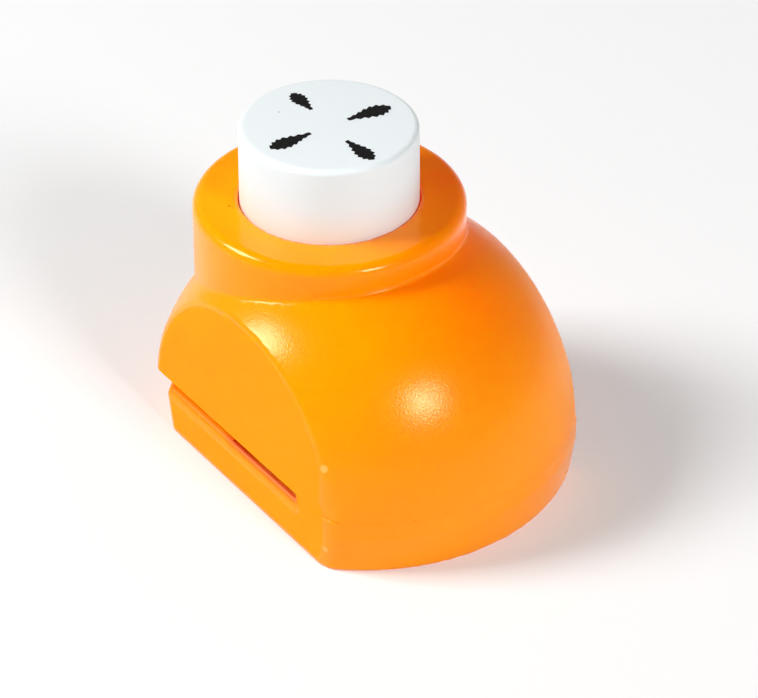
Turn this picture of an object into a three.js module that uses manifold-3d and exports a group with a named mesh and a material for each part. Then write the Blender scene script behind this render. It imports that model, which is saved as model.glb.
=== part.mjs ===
// A hand punch that cuts four small leaves from paper, in millimetres, +Z up.
// The front, where the paper goes in, faces -Y. The origin lies under the middle of the body, on the table.
import * as THREE from "three";
import { mergeVertices } from "three/addons/utils/BufferGeometryUtils.js";
import Module from "manifold-3d";

// Body: a round dome with two flat cheeks on a low base
const BODY_RADIUS = 24.4;
const CHEEK_WIDTH = 34.1;
const CHEEK_LEAN_DEGREES = 1.4;
const PARTING_Z = 7;
const DOME_RISE = 20.1;
const DOME_RISE_EXPONENT = 1.64;
const DOME_ROUND_EXPONENT = 3.05;
const SHELL_WALL = 1.8;
const BASE_TAPER = 0.5;
const BASE_EDGE = 0.8;
const BASE_WALL = 1.8;

// Leaves: four, in a cross round the button's axis, each as half widths from its stem to its tip
const LEAF_COUNT = 4;
const LEAF_LENGTH = 5.3;
const LEAF_WIDTH = 1.8;
const LEAF_INNER_RADIUS = 2.5;
const LEAF_CLEARANCE = 0.2;
const LEAF_HALF_WIDTH_SHARES = [
  0.2, 0.36, 0.3, 0.52, 0.46, 0.74, 0.66, 0.94, 0.86, 1, 0.84, 0.86, 0.6, 0.5, 0.14,
];

// Button, and the discs that carry the punches under it
const BUTTON_PLACE_SHARE = 0.251;
const BUTTON_RISE = 9.1;
const BUTTON_EDGE = 1;
const BUTTON_DRAFT = 0.1;
const BUTTON_WALL = 1.6;
const BUTTON_ROOF = 2;
const BUTTON_BOSS_RADIUS = 3.6;
const FLANGE_OVERLAP = 1.3;
const FLANGE_THICKNESS = 1.6;
const STROKE = 5;
const STOP_GAP = 0.1;
const HOLDER_RIM = 0.65;
const HOLDER_THICKNESS = 3;
const BACKING_THICKNESS = 1.5;
const PUNCH_HEAD_HEIGHT = 1;
const PUNCH_HEAD_STEP = 0.35;
const PUNCH_REST_LIFT = 0.3;

// Collar round the button, and its sleeve inside the dome
const COLLAR_RISE = 3;
const COLLAR_LIP = 3;
const COLLAR_WALL = 2.3;
const COLLAR_DRAFT = 0.15;
const COLLAR_EDGE = 1.2;
const BORE_CLEARANCE = 0.6;
const FLANGE_CLEARANCE = 1.1;
const FLANGE_REST_GAP = 0.3;
const SLEEVE_PAST_STROKE = 1.5;

// Return spring and its seat, whose tube also stops the stroke
const SPRING_WIRE = 1.4;
const SPRING_TURNS = 4.5;
const SPRING_CLEARANCE = 0.5;
const SPRING_INSET = 0.2;
const SPRING_END_GAP = 0.1;
const SEAT_THICKNESS = 0.6;
const SEAT_TUBE_WALL = 0.9;
const SCREW_HEAD_GAP = 0.3;

// Paper slot: open in front and through both cheeks, closed at the back
const REAR_DEPTH = 13.25;
const PAPER_GAP = 1.2;
const SLOT_MOUTH = 2.25;
const RAMP_WIDTH = 1.1;
const LIP_SETBACK = 1.3;
const SIDE_POCKET_LENGTH = 13.7;
const SIDE_POCKET_WIDTH = 1.6;
const SIDE_POCKET_DEPTH = 1.4;
const SIDE_POCKET_INSET = 0.6;

// Steel unit: guide plate above the paper, spacer behind it, die plate below it
const GUIDE_PLATE_THICKNESS = 2.5;
const DIE_PLATE_THICKNESS = 3;
const PLATE_SIDE_WALL = 2.75;
const PLATE_CLEARANCE = 0.3;
const TONGUE_WIDTH = 16;
const TONGUE_LENGTH = 3.45;
const CHIP_OUTLET_MARGIN = 1.2;

// Screws, each with a cross recess in its head
const SCREW_CLEARANCE = 0.3;
const CARRIER_SCREW_RADIUS = 1;
const CARRIER_SCREW_HEAD_RADIUS = 1.9;
const CARRIER_SCREW_HEAD_HEIGHT = 1.5;
const CARRIER_SCREW_LENGTH = 10;
const BLOCK_SCREW_RADIUS = 1;
const BLOCK_SCREW_HEAD_RADIUS = 1.7;
const BLOCK_SCREW_HEAD_HEIGHT = 1.3;
const BLOCK_SCREW_INSET = 3;
const BLOCK_SCREW_SHORTFALL = 0.6;
const SHELL_SCREW_RADIUS = 1.1;
const SHELL_SCREW_HEAD_RADIUS = 2.2;
const SHELL_SCREW_HEAD_HEIGHT = 1.6;
const SHELL_SCREW_LENGTH = 11;
const SHELL_SCREW_SINK = 2.6;
const SHELL_SCREW_EDGE = 5.2;
const SHELL_SCREW_CHEEK_INSET = 4.4;
const SHELL_SCREW_SLOT_GAP = 0.6;
const REAR_SCREW_SHARE = 0.5;
const BOSS_WALL = 1.2;
const BOSS_TIP_CLEARANCE = 0.6;
const RECESS_HALF_WIDTH_SHARE = 0.15;
const RECESS_HALF_LENGTH_SHARE = 0.55;
const RECESS_DEPTH_SHARE = 0.5;

// Posts under the dome that hold the guide plate down, and the rib that centres the dome on the base
const POST_RADIUS = 1.6;
const POST_GAP = 0.85;
const POST_ANGLE_DEGREES = 31.7;
const RIB_HEIGHT = 1.4;
const RIB_WALL = 1.2;
const RIB_CLEARANCE = 0.3;

// How far a cutter runs past what it cuts, how close points are welded, how finely rounds are divided
const OVERRUN = 1;
const WELD = 0.0001;
const DOME_SEGMENTS = 64;
const HOLLOW_SEGMENTS = 40;
const BUTTON_SEGMENTS = 40;
const SMALL_SEGMENTS = 16;
const DOME_STEPS = 14;
const HOLLOW_STEPS = 8;
const EDGE_STEPS = 4;
const SPRING_STEPS_PER_TURN = 8;
const SPRING_SIDES = 5;

// Radii round the button's axis, from the leaves outwards
const LEAF_OUTER_RADIUS = LEAF_INNER_RADIUS + LEAF_LENGTH;
const HOLDER_RADIUS = LEAF_OUTER_RADIUS + LEAF_CLEARANCE + PUNCH_HEAD_STEP + HOLDER_RIM;
const SPRING_INNER_RADIUS = (HOLDER_RADIUS + SPRING_CLEARANCE) / Math.cos(Math.PI / SPRING_STEPS_PER_TURN);
const SPRING_RADIUS = SPRING_INNER_RADIUS + SPRING_WIRE / 2;
const FLANGE_RADIUS = SPRING_INNER_RADIUS + SPRING_WIRE + SPRING_INSET;
const BORE_RADIUS = FLANGE_RADIUS - FLANGE_OVERLAP;
const BUTTON_RADIUS = BORE_RADIUS - BORE_CLEARANCE;
const CHAMBER_RADIUS = FLANGE_RADIUS + FLANGE_CLEARANCE;
const COLLAR_RADIUS = CHAMBER_RADIUS + COLLAR_WALL;

// Levels, from the paper upwards and downwards
const DECK_Z = PARTING_Z - PAPER_GAP;
const BASE_FLOOR_Z = DECK_Z - DIE_PLATE_THICKNESS;
const GUIDE_TOP_Z = PARTING_Z + GUIDE_PLATE_THICKNESS;
const SEAT_TOP_Z = GUIDE_TOP_Z + SEAT_THICKNESS;
const SEAT_TUBE_TOP_Z = GUIDE_TOP_Z + CARRIER_SCREW_HEAD_HEIGHT + SCREW_HEAD_GAP;
const HOLDER_BOTTOM_Z = SEAT_TUBE_TOP_Z + STOP_GAP + STROKE;
const BACKING_BOTTOM_Z = HOLDER_BOTTOM_Z + HOLDER_THICKNESS;
const BOSS_BOTTOM_Z = BACKING_BOTTOM_Z + BACKING_THICKNESS;
const PUNCH_TIP_Z = PARTING_Z + PUNCH_REST_LIFT;
const COLLAR_TOP_Z = PARTING_Z + DOME_RISE + COLLAR_RISE;
const BUTTON_TOP_Z = COLLAR_TOP_Z + BUTTON_RISE;
const CHAMBER_TOP_Z = COLLAR_TOP_Z - COLLAR_LIP;
const FLANGE_TOP_Z = CHAMBER_TOP_Z - FLANGE_REST_GAP;
const FLANGE_BOTTOM_Z = FLANGE_TOP_Z - FLANGE_THICKNESS;
const SLEEVE_BOTTOM_Z = FLANGE_BOTTOM_Z - STROKE - SLEEVE_PAST_STROKE;

// Places in plan: the slot ends a set depth from the back, and the button stands between it and the front
const CHEEK_X = CHEEK_WIDTH / 2;
const SLOT_END_Y = BODY_RADIUS - REAR_DEPTH;
const BUTTON_FRONTMOST_Y = COLLAR_RADIUS + COLLAR_DRAFT - BODY_RADIUS;
const BUTTON_REARMOST_Y = SLOT_END_Y - FLANGE_RADIUS;
const BUTTON_AXIS_Y = BUTTON_FRONTMOST_Y + (BUTTON_REARMOST_Y - BUTTON_FRONTMOST_Y) * BUTTON_PLACE_SHARE;
const PLATE_SIDE_X = CHEEK_X - PLATE_SIDE_WALL - PLATE_CLEARANCE;
const PLATE_RADIUS = BODY_RADIUS - LIP_SETBACK - BASE_TAPER - BASE_WALL - PLATE_CLEARANCE;
const PLATE_END_Y = SLOT_END_Y - PLATE_CLEARANCE;
const TONGUE_END_Y = SLOT_END_Y + TONGUE_LENGTH;
const BLOCK_SCREW_X = TONGUE_WIDTH / 2 - BLOCK_SCREW_INSET;
const BLOCK_SCREW_Y = SLOT_END_Y + TONGUE_LENGTH / 2;
const SHELL_BOSS_RADIUS = SHELL_SCREW_RADIUS + SCREW_CLEARANCE + BOSS_WALL;

// The shell's screws stand on a ring, as far out as the cheeks and the slot's end allow
const SHELL_SCREW_RING = BODY_RADIUS - SHELL_SCREW_EDGE;
const SIDE_SCREW_LEAST_Y = SLOT_END_Y + SHELL_BOSS_RADIUS + SHELL_SCREW_SLOT_GAP;
const SIDE_SCREW_MOST_X = Math.sqrt(SHELL_SCREW_RING ** 2 - SIDE_SCREW_LEAST_Y ** 2);
const SIDE_SCREW_X = Math.min(CHEEK_X - SHELL_SCREW_CHEEK_INSET, SIDE_SCREW_MOST_X);
const SHELL_SCREW_XS = [SIDE_SCREW_X, SIDE_SCREW_X * REAR_SCREW_SHARE];
const SHELL_SCREW_SPOTS = SHELL_SCREW_XS.map((x) => [x, Math.sqrt(SHELL_SCREW_RING ** 2 - x ** 2)]);

// The posts stand round the spring's seat, two in front of the button's axis and two behind it
const POST_RING = FLANGE_RADIUS + POST_GAP + POST_RADIUS;
const POST_ANGLE = THREE.MathUtils.degToRad(POST_ANGLE_DEGREES);
const POST_SPOTS = [-POST_ANGLE, POST_ANGLE].map((angle) => [
  POST_RING * Math.cos(angle),
  BUTTON_AXIS_Y + POST_RING * Math.sin(angle),
]);

const wasm = await Module();
wasm.setup();

// Materials
const plastic = (color, roughness) => new THREE.MeshStandardMaterial({ color, roughness, metalness: 0 });
const metal = (color, roughness) => new THREE.MeshStandardMaterial({ color, roughness, metalness: 1 });
const orangePlastic = plastic(0xff9500, 0.35);
const whitePlastic = plastic(0xf2f3f4, 0.4);
const plateSteel = metal(0xb9bcc0, 0.35);
const punchSteel = metal(0x8f9398, 0.25);
const springSteel = metal(0xa7abb0, 0.3);
const zincSteel = metal(0xc9ccd0, 0.3);

// A closed geometry as a solid that can be joined and cut
function solidOf(geometry) {
  geometry.deleteAttribute("normal");
  geometry.deleteAttribute("uv");
  const merged = mergeVertices(geometry, WELD);
  return new wasm.Manifold(
    new wasm.Mesh({
      numProp: 3,
      vertProperties: merged.attributes.position.array,
      triVerts: new Uint32Array(merged.index.array),
    }),
  );
}

function geometryOf(solid) {
  const result = solid.getMesh();
  const geometry = new THREE.BufferGeometry();
  geometry.setAttribute("position", new THREE.BufferAttribute(result.vertProperties, 3));
  geometry.setIndex(new THREE.BufferAttribute(result.triVerts, 1));
  return geometry;
}

// A solid turned about a vertical axis, from points given as radius and height, counterclockwise
function turned(points, y, segments, x = 0) {
  const profile = points.map(([radius, z]) => new THREE.Vector2(radius, z));
  const geometry = new THREE.LatheGeometry(profile, segments);
  geometry.rotateX(Math.PI / 2);
  geometry.translate(x, y, 0);
  return solidOf(geometry);
}

function cylinder(radius, bottom, top, y, segments, x = 0) {
  const profile = [
    [0, bottom],
    [radius, bottom],
    [radius, top],
    [0, top],
  ];
  return turned(profile, y, segments, x);
}

const peg = (radius, bottom, top, [x, y]) => cylinder(radius, bottom, top, y, SMALL_SEGMENTS, x);

function box([x0, x1], [y0, y1], [z0, z1]) {
  const geometry = new THREE.BoxGeometry(x1 - x0, y1 - y0, z1 - z0);
  geometry.translate((x0 + x1) / 2, (y0 + y1) / 2, (z0 + z1) / 2);
  return solidOf(geometry);
}

// A flat outline in X and Y, from one height to another
function plate(outline, bottom, top) {
  const geometry = new THREE.ExtrudeGeometry(outline, {
    depth: top - bottom,
    bevelEnabled: false,
    curveSegments: SMALL_SEGMENTS,
  });
  geometry.translate(0, 0, bottom);
  return solidOf(geometry);
}

// A bar along Y, from its section's points in X and Z
function bar(points, front, back) {
  const section = new THREE.Shape(points.map(([x, z]) => new THREE.Vector2(x, z)));
  const geometry = new THREE.ExtrudeGeometry(section, { depth: back - front, bevelEnabled: false });
  geometry.rotateX(Math.PI / 2);
  geometry.translate(0, back, 0);
  return solidOf(geometry);
}

// Points of a quarter round, as radius and height
function quarterRound(centreRadius, centreZ, round, startAngle) {
  return Array.from({ length: EDGE_STEPS + 1 }, (_, i) => {
    const angle = startAngle + (i * Math.PI) / (2 * EDGE_STEPS);
    return [centreRadius + round * Math.cos(angle), centreZ + round * Math.sin(angle)];
  });
}

function circlePath(radius, x, y) {
  const path = new THREE.Path();
  path.absarc(x, y, radius, 0, 2 * Math.PI, true);
  return path;
}

// Both places of each pair that mirrors across the middle
const mirrored = (spots) => spots.flatMap(([x, y]) => [[x, y], [-x, y]]);

// The dome, or the hollow in it: a turned superellipse between two leaning cheeks
function domeSolid(wall, foot, steps, segments) {
  const radius = BODY_RADIUS - wall;
  const rise = DOME_RISE - wall;
  const bottom = PARTING_Z - foot;
  const profile = [
    [0, bottom],
    [radius, bottom],
  ];
  for (let i = foot > 0 ? 0 : 1; i < steps; i += 1) {
    const share = Math.sin((i / steps) * (Math.PI / 2));
    const shrink = (1 - share ** DOME_RISE_EXPONENT) ** (1 / DOME_ROUND_EXPONENT);
    profile.push([radius * shrink, PARTING_Z + rise * share]);
  }
  profile.push([0, PARTING_Z + rise]);
  const lean = Math.tan(THREE.MathUtils.degToRad(CHEEK_LEAN_DEGREES));
  const low = bottom - OVERRUN;
  const high = PARTING_Z + rise + OVERRUN;
  const lowX = CHEEK_X - wall - lean * (low - PARTING_Z);
  const highX = CHEEK_X - wall - lean * (high - PARTING_Z);
  const section = [
    [-lowX, low],
    [lowX, low],
    [highX, high],
    [-highX, high],
  ];
  const cheeks = bar(section, -BODY_RADIUS - OVERRUN, BODY_RADIUS + OVERRUN);
  return turned(profile, 0, segments).intersect(cheeks);
}

function collarSolid(bottom) {
  const profile = [
    [0, bottom],
    [COLLAR_RADIUS + COLLAR_DRAFT, bottom],
    ...quarterRound(COLLAR_RADIUS - COLLAR_EDGE, COLLAR_TOP_Z - COLLAR_EDGE, COLLAR_EDGE, 0),
    [0, COLLAR_TOP_Z],
  ];
  return turned(profile, BUTTON_AXIS_Y, DOME_SEGMENTS);
}

function upperShell() {
  const outside = domeSolid(0, 0, DOME_STEPS, DOME_SEGMENTS).add(collarSolid(PARTING_Z));
  let inside = collarSolid(SLEEVE_BOTTOM_Z);
  for (const spot of mirrored(SHELL_SCREW_SPOTS)) {
    inside = inside.add(peg(SHELL_BOSS_RADIUS, PARTING_Z, COLLAR_TOP_Z, spot));
  }
  for (const spot of mirrored(POST_SPOTS)) {
    inside = inside.add(peg(POST_RADIUS, GUIDE_TOP_Z, COLLAR_TOP_Z, spot));
  }
  const low = PARTING_Z - OVERRUN;
  const high = COLLAR_TOP_Z + OVERRUN;
  let shell = outside.subtract(domeSolid(SHELL_WALL, OVERRUN, HOLLOW_STEPS, HOLLOW_SEGMENTS));
  shell = shell.add(inside.intersect(outside));
  shell = shell.subtract(cylinder(CHAMBER_RADIUS, low, CHAMBER_TOP_Z, BUTTON_AXIS_Y, BUTTON_SEGMENTS));
  shell = shell.subtract(cylinder(BORE_RADIUS, low, high, BUTTON_AXIS_Y, BUTTON_SEGMENTS));
  const holeRadius = SHELL_SCREW_RADIUS + SCREW_CLEARANCE;
  const holeTop = SHELL_SCREW_SINK + SHELL_SCREW_LENGTH + BOSS_TIP_CLEARANCE;
  for (const spot of mirrored(SHELL_SCREW_SPOTS)) {
    shell = shell.subtract(peg(holeRadius, low, holeTop, spot));
  }
  return shell;
}

// The base before it is trimmed and cut: a round body with a rounded foot and a ramp round its top
function baseBody(radius, top, ramp) {
  const profile = [
    [0, 0],
    ...quarterRound(radius - BASE_TAPER - BASE_EDGE, BASE_EDGE, BASE_EDGE, -Math.PI / 2),
    [radius, PARTING_Z - SLOT_MOUTH],
    [radius - ramp, top],
    [0, top],
  ];
  return turned(profile, 0, DOME_SEGMENTS);
}

// The ramps along both cheeks and the space for the paper above them
function slotCutter() {
  const high = PARTING_Z + OVERRUN;
  const mouthZ = PARTING_Z - SLOT_MOUTH;
  const rampX = CHEEK_X - RAMP_WIDTH;
  const outerX = CHEEK_X + OVERRUN;
  const section = [
    [-outerX, high],
    [-outerX, mouthZ],
    [-CHEEK_X, mouthZ],
    [-rampX, DECK_Z],
    [rampX, DECK_Z],
    [CHEEK_X, mouthZ],
    [outerX, mouthZ],
    [outerX, high],
  ];
  return bar(section, -BODY_RADIUS - OVERRUN, SLOT_END_Y);
}

function sidePocket(side) {
  const outerX = side * (CHEEK_X - SIDE_POCKET_INSET);
  const innerX = outerX - side * SIDE_POCKET_WIDTH;
  const xs = [Math.min(outerX, innerX), Math.max(outerX, innerX)];
  const ys = [SLOT_END_Y - SIDE_POCKET_LENGTH, SLOT_END_Y];
  return box(xs, ys, [DECK_Z - SIDE_POCKET_DEPTH, PARTING_Z + OVERRUN]);
}

// The steel plates' outline: round in front, straight at the sides, with a tongue at the back
function plateOutline(grow) {
  const sideX = PLATE_SIDE_X + grow;
  const radius = PLATE_RADIUS + grow;
  const tongueX = TONGUE_WIDTH / 2 + grow;
  const turn = Math.acos(sideX / radius);
  const outline = new THREE.Shape();
  outline.moveTo(-sideX, PLATE_END_Y + grow);
  outline.absarc(0, 0, radius, Math.PI + turn, 2 * Math.PI - turn, false);
  outline.lineTo(sideX, PLATE_END_Y + grow);
  outline.lineTo(tongueX, PLATE_END_Y + grow);
  outline.lineTo(tongueX, TONGUE_END_Y + grow);
  outline.lineTo(-tongueX, TONGUE_END_Y + grow);
  outline.lineTo(-tongueX, PLATE_END_Y + grow);
  return outline;
}

// A slice of the space inside the dome behind the slot
function rearSpace(gap, top) {
  const sideX = CHEEK_X - SHELL_WALL - gap;
  const front = SLOT_END_Y + gap;
  const round = cylinder(BODY_RADIUS - SHELL_WALL - gap, DECK_Z, top, 0, HOLLOW_SEGMENTS);
  return round.intersect(box([-sideX, sideX], [front, BODY_RADIUS], [DECK_Z, top]));
}

function locatingRib() {
  const top = PARTING_Z + RIB_HEIGHT;
  let rib = rearSpace(RIB_CLEARANCE, top).subtract(rearSpace(RIB_CLEARANCE + RIB_WALL, top + OVERRUN));
  for (const spot of mirrored(SHELL_SCREW_SPOTS)) {
    rib = rib.subtract(peg(SHELL_BOSS_RADIUS + RIB_CLEARANCE, PARTING_Z, top + OVERRUN, spot));
  }
  return rib;
}

function baseShell() {
  const low = -OVERRUN;
  const high = PARTING_Z + RIB_HEIGHT + OVERRUN;
  const far = BODY_RADIUS + OVERRUN;
  const rear = baseBody(BODY_RADIUS, PARTING_Z, 0);
  const front = baseBody(BODY_RADIUS - LIP_SETBACK, DECK_Z, RAMP_WIDTH);
  let base = front.add(rear.intersect(box([-far, far], [SLOT_END_Y, far], [low, high])));
  base = base.intersect(box([-CHEEK_X, CHEEK_X], [-far, far], [low, high]));
  base = base.add(locatingRib());
  base = base.subtract(slotCutter()).subtract(sidePocket(1)).subtract(sidePocket(-1));
  base = base.subtract(plate(plateOutline(PLATE_CLEARANCE), BASE_FLOOR_Z, high));
  const outletRadius = LEAF_OUTER_RADIUS + LEAF_CLEARANCE + CHIP_OUTLET_MARGIN;
  base = base.subtract(cylinder(outletRadius, low, high, BUTTON_AXIS_Y, BUTTON_SEGMENTS));
  for (const spot of mirrored(SHELL_SCREW_SPOTS)) {
    base = base.subtract(peg(SHELL_SCREW_HEAD_RADIUS + SCREW_CLEARANCE, low, SHELL_SCREW_SINK, spot));
    base = base.subtract(peg(SHELL_SCREW_RADIUS + SCREW_CLEARANCE, low, high, spot));
  }
  return base;
}

// One leaf's outline, its stem towards the button's axis, grown all round
function leafOutline(index, grow) {
  const last = LEAF_HALF_WIDTH_SHARES.length - 1;
  const side = LEAF_HALF_WIDTH_SHARES.map((share, i) => [
    LEAF_INNER_RADIUS - grow + ((LEAF_LENGTH + 2 * grow) * i) / last,
    (LEAF_WIDTH / 2) * share + grow,
  ]);
  const round = [...side.map(([x, y]) => [x, -y]), ...side.reverse()];
  const axis = new THREE.Vector2(0, BUTTON_AXIS_Y);
  const turn = (index * 2 * Math.PI) / LEAF_COUNT;
  return round.map(([x, y]) => new THREE.Vector2(x, y).rotateAround(new THREE.Vector2(), turn).add(axis));
}

function withLeafHoles(outline, grow) {
  for (let i = 0; i < LEAF_COUNT; i += 1) outline.holes.push(new THREE.Path(leafOutline(i, grow)));
  return outline;
}

function withBlockScrewHoles(outline) {
  for (const x of [-BLOCK_SCREW_X, BLOCK_SCREW_X]) {
    outline.holes.push(circlePath(BLOCK_SCREW_RADIUS + SCREW_CLEARANCE, x, BLOCK_SCREW_Y));
  }
  return outline;
}

const steelPlate = (bottom, top) =>
  plate(withBlockScrewHoles(withLeafHoles(plateOutline(0), LEAF_CLEARANCE)), bottom, top);

function throatSpacer() {
  const outline = new THREE.Shape();
  const x = TONGUE_WIDTH / 2;
  outline.moveTo(-x, SLOT_END_Y);
  outline.lineTo(x, SLOT_END_Y);
  outline.lineTo(x, TONGUE_END_Y);
  outline.lineTo(-x, TONGUE_END_Y);
  return plate(withBlockScrewHoles(outline), DECK_Z, PARTING_Z);
}

function carrierDisc() {
  const outline = new THREE.Shape();
  outline.absarc(0, BUTTON_AXIS_Y, HOLDER_RADIUS, 0, 2 * Math.PI, false);
  outline.holes.push(circlePath(CARRIER_SCREW_RADIUS + SCREW_CLEARANCE, 0, BUTTON_AXIS_Y));
  return outline;
}

function punchHolder() {
  const step = BACKING_BOTTOM_Z - PUNCH_HEAD_HEIGHT - LEAF_CLEARANCE;
  const lower = withLeafHoles(carrierDisc(), LEAF_CLEARANCE);
  const upper = withLeafHoles(carrierDisc(), LEAF_CLEARANCE + PUNCH_HEAD_STEP);
  return plate(lower, HOLDER_BOTTOM_Z, step).add(plate(upper, step, BACKING_BOTTOM_Z));
}

function leafPunch(index) {
  const step = BACKING_BOTTOM_Z - PUNCH_HEAD_HEIGHT;
  const blade = plate(new THREE.Shape(leafOutline(index, 0)), PUNCH_TIP_Z, BACKING_BOTTOM_Z);
  return blade.add(plate(new THREE.Shape(leafOutline(index, PUNCH_HEAD_STEP)), step, BACKING_BOTTOM_Z));
}

function buttonCap() {
  const holeRadius = CARRIER_SCREW_RADIUS + SCREW_CLEARANCE;
  const holeTop = HOLDER_BOTTOM_Z + CARRIER_SCREW_LENGTH + BOSS_TIP_CLEARANCE;
  const innerRadius = BUTTON_RADIUS - BUTTON_WALL;
  const roofZ = BUTTON_TOP_Z - BUTTON_ROOF;
  const profile = [
    [0, holeTop],
    [holeRadius, holeTop],
    [holeRadius, BOSS_BOTTOM_Z],
    [BUTTON_BOSS_RADIUS, BOSS_BOTTOM_Z],
    [BUTTON_BOSS_RADIUS, roofZ],
    [innerRadius, roofZ],
    [innerRadius, FLANGE_BOTTOM_Z],
    [FLANGE_RADIUS, FLANGE_BOTTOM_Z],
    [FLANGE_RADIUS, FLANGE_TOP_Z],
    [BUTTON_RADIUS + BUTTON_DRAFT, FLANGE_TOP_Z],
    ...quarterRound(BUTTON_RADIUS - BUTTON_EDGE, BUTTON_TOP_Z - BUTTON_EDGE, BUTTON_EDGE, 0),
    [0, BUTTON_TOP_Z],
  ];
  return turned(profile, BUTTON_AXIS_Y, BUTTON_SEGMENTS);
}

// A screw seated under its head, its shank pointing up or down
function screw(radius, headRadius, headHeight, length, [x, y], seatZ, up) {
  const headZ = seatZ - up * headHeight;
  const tipZ = seatZ + up * length;
  const profile = [
    [0, headZ],
    [headRadius, headZ],
    [headRadius, seatZ],
    [radius, seatZ],
    [radius, tipZ],
    [0, tipZ],
  ];
  const body = turned(up > 0 ? profile : profile.reverse(), y, SMALL_SEGMENTS, x);
  const long = headRadius * RECESS_HALF_LENGTH_SHARE;
  const wide = headRadius * RECESS_HALF_WIDTH_SHARE;
  const ends = [headZ - up * OVERRUN, headZ + up * headHeight * RECESS_DEPTH_SHARE];
  const depth = [Math.min(...ends), Math.max(...ends)];
  const recess = box([x - long, x + long], [y - wide, y + wide], depth);
  return body.subtract(recess.add(box([x - wide, x + wide], [y - long, y + long], depth)));
}

// The seat: a flat ring under the spring, with the stop tube that stands inside it
function springSeat() {
  const innerRadius = HOLDER_RADIUS - SEAT_TUBE_WALL;
  const profile = [
    [innerRadius, GUIDE_TOP_Z],
    [FLANGE_RADIUS, GUIDE_TOP_Z],
    [FLANGE_RADIUS, SEAT_TOP_Z],
    [HOLDER_RADIUS, SEAT_TOP_Z],
    [HOLDER_RADIUS, SEAT_TUBE_TOP_Z],
    [innerRadius, SEAT_TUBE_TOP_Z],
    [innerRadius, GUIDE_TOP_Z],
  ];
  return turned(profile, BUTTON_AXIS_Y, BUTTON_SEGMENTS);
}

// Middle points of the spring's wire: a helix that runs on straight for one wire thickness at each end
function springCentres() {
  const bottom = SEAT_TOP_Z + SPRING_END_GAP + SPRING_WIRE / 2;
  const top = FLANGE_BOTTOM_Z - SPRING_END_GAP - SPRING_WIRE / 2;
  const steps = Math.round(SPRING_TURNS * SPRING_STEPS_PER_TURN);
  const centres = Array.from({ length: steps + 1 }, (_, i) => {
    const angle = (i * 2 * Math.PI) / SPRING_STEPS_PER_TURN;
    const x = SPRING_RADIUS * Math.cos(angle);
    const y = BUTTON_AXIS_Y + SPRING_RADIUS * Math.sin(angle);
    return new THREE.Vector3(x, y, bottom + ((top - bottom) * i) / steps);
  });
  const runOn = (end, before) => {
    const along = new THREE.Vector3(end.x - before.x, end.y - before.y, 0).setLength(SPRING_WIRE);
    return end.clone().add(along);
  };
  const first = runOn(centres[0], centres[1]);
  const last = runOn(centres[steps], centres[steps - 1]);
  return [first, ...centres, last];
}

// The wire round those points: at each one a ring that stands across the way
function returnSpring() {
  const centres = springCentres();
  const count = centres.length;
  const positions = [];
  centres.forEach((centre, i) => {
    const before = centres[Math.max(i - 1, 0)];
    const after = centres[Math.min(i + 1, count - 1)];
    const along = after.clone().sub(before).normalize();
    const across = new THREE.Vector3(along.y, -along.x, 0).normalize();
    const up = across.clone().cross(along);
    for (let k = 0; k < SPRING_SIDES; k += 1) {
      const angle = (k * 2 * Math.PI) / SPRING_SIDES;
      const point = centre.clone().addScaledVector(across, (SPRING_WIRE / 2) * Math.cos(angle));
      point.addScaledVector(up, (SPRING_WIRE / 2) * Math.sin(angle));
      positions.push(...point.toArray());
    }
  });
  const faces = [];
  for (let i = 0; i < count - 1; i += 1) {
    for (let k = 0; k < SPRING_SIDES; k += 1) {
      const a = i * SPRING_SIDES + k;
      const b = i * SPRING_SIDES + ((k + 1) % SPRING_SIDES);
      faces.push(a, a + SPRING_SIDES, b);
      faces.push(b, a + SPRING_SIDES, b + SPRING_SIDES);
    }
  }
  const end = (count - 1) * SPRING_SIDES;
  for (let k = 1; k < SPRING_SIDES - 1; k += 1) {
    faces.push(0, k, k + 1);
    faces.push(end, end + k + 1, end + k);
  }
  const geometry = new THREE.BufferGeometry();
  geometry.setAttribute("position", new THREE.Float32BufferAttribute(positions, 3));
  geometry.setIndex(faces);
  console.log("return_spring: least gap to itself " + leastGap(centres, SPRING_WIRE).toFixed(2) + " mm");
  return geometry;
}

// The least gap between points of a wire that lie half a turn or more apart along it
function leastGap(centres, wire) {
  let least = Infinity;
  centres.forEach((centre, i) => {
    for (const other of centres.slice(i + SPRING_STEPS_PER_TURN / 2)) {
      least = Math.min(least, centre.distanceTo(other) - wire);
    }
  });
  return least;
}

function carrierScrew() {
  const size = [CARRIER_SCREW_RADIUS, CARRIER_SCREW_HEAD_RADIUS, CARRIER_SCREW_HEAD_HEIGHT];
  return screw(...size, CARRIER_SCREW_LENGTH, [0, BUTTON_AXIS_Y], HOLDER_BOTTOM_Z, 1);
}

function blockScrew(x) {
  const size = [BLOCK_SCREW_RADIUS, BLOCK_SCREW_HEAD_RADIUS, BLOCK_SCREW_HEAD_HEIGHT];
  const length = GUIDE_TOP_Z - BASE_FLOOR_Z - BLOCK_SCREW_SHORTFALL;
  return screw(...size, length, [x, BLOCK_SCREW_Y], GUIDE_TOP_Z, -1);
}

function shellScrew(spot) {
  const size = [SHELL_SCREW_RADIUS, SHELL_SCREW_HEAD_RADIUS, SHELL_SCREW_HEAD_HEIGHT];
  return screw(...size, SHELL_SCREW_LENGTH, spot, SHELL_SCREW_SINK, 1);
}

// The whole punch: what stands still, and what goes down with the button
const punch = new THREE.Group();
const fixed = new THREE.Group();
const pressed = new THREE.Group();
punch.add(fixed, pressed);

function place(group, name, shape, material) {
  const geometry = shape.isBufferGeometry ? shape : geometryOf(shape);
  geometry.computeVertexNormals();
  const mesh = new THREE.Mesh(geometry, material);
  mesh.name = name;
  group.add(mesh);
}

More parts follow.
